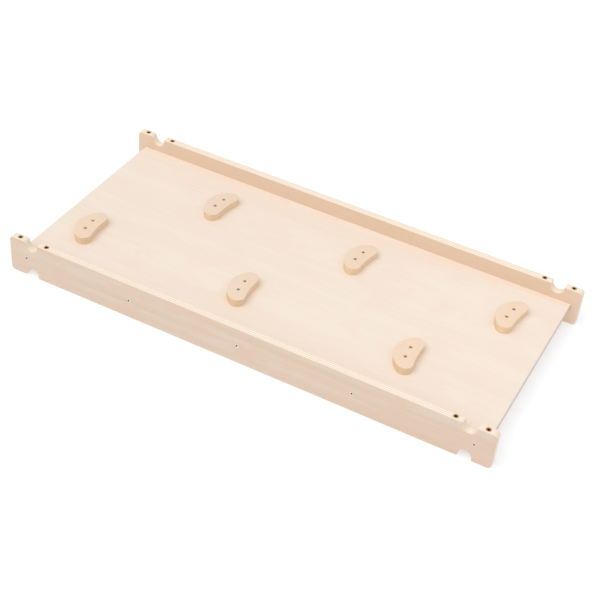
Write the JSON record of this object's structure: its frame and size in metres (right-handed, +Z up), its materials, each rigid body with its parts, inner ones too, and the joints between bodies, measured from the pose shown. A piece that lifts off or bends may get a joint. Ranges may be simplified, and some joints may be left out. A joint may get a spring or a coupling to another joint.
{
  "type": "climbing ramp",
  "caption": "Reversible plywood climbing ramp: flat deck with screwed-on bean-shaped holds between two side rails whose notches hang it on a rung.",
  "frame": {"origin": "on the ground under the middle of the ramp, midway between the rails and midway along them", "axes": "+X along the ramp, +Y across it from the front rail to the back rail, +Z up, out of the climbing side"},
  "size_m": [1.14, 0.525, 0.09],
  "materials": {
    "rail_plywood": "birch plywood, clear matt lacquer",
    "deck_plywood": "birch plywood, clear matt lacquer, grain along the ramp",
    "hold_plywood": "birch plywood, clear matt lacquer, sanded edges",
    "screw_steel": "zinc plated",
    "insert_brass": "plain, dulled"
  },
  "bodies": {
    "root": {"front_side_rail": "rail_plywood", "back_side_rail": "rail_plywood", "deck_board": "deck_plywood", "climbing_hold_1": "hold_plywood", "climbing_hold_2": "hold_plywood", "climbing_hold_3": "hold_plywood", "climbing_hold_4": "hold_plywood", "climbing_hold_5": "hold_plywood", "climbing_hold_6": "hold_plywood", "climbing_hold_1_screws": "screw_steel", "climbing_hold_2_screws": "screw_steel", "climbing_hold_3_screws": "screw_steel", "climbing_hold_4_screws": "screw_steel", "climbing_hold_5_screws": "screw_steel", "climbing_hold_6_screws": "screw_steel", "front_rail_screws": "screw_steel", "back_rail_screws": "screw_steel", "front_left_bottom_inserts": "insert_brass", "front_left_top_inserts": "insert_brass", "front_right_bottom_inserts": "insert_brass", "front_right_top_inserts": "insert_brass", "back_left_bottom_inserts": "insert_brass", "back_left_top_inserts": "insert_brass", "back_right_bottom_inserts": "insert_brass", "back_right_top_inserts": "insert_brass"}
  },
  "joints": []
}
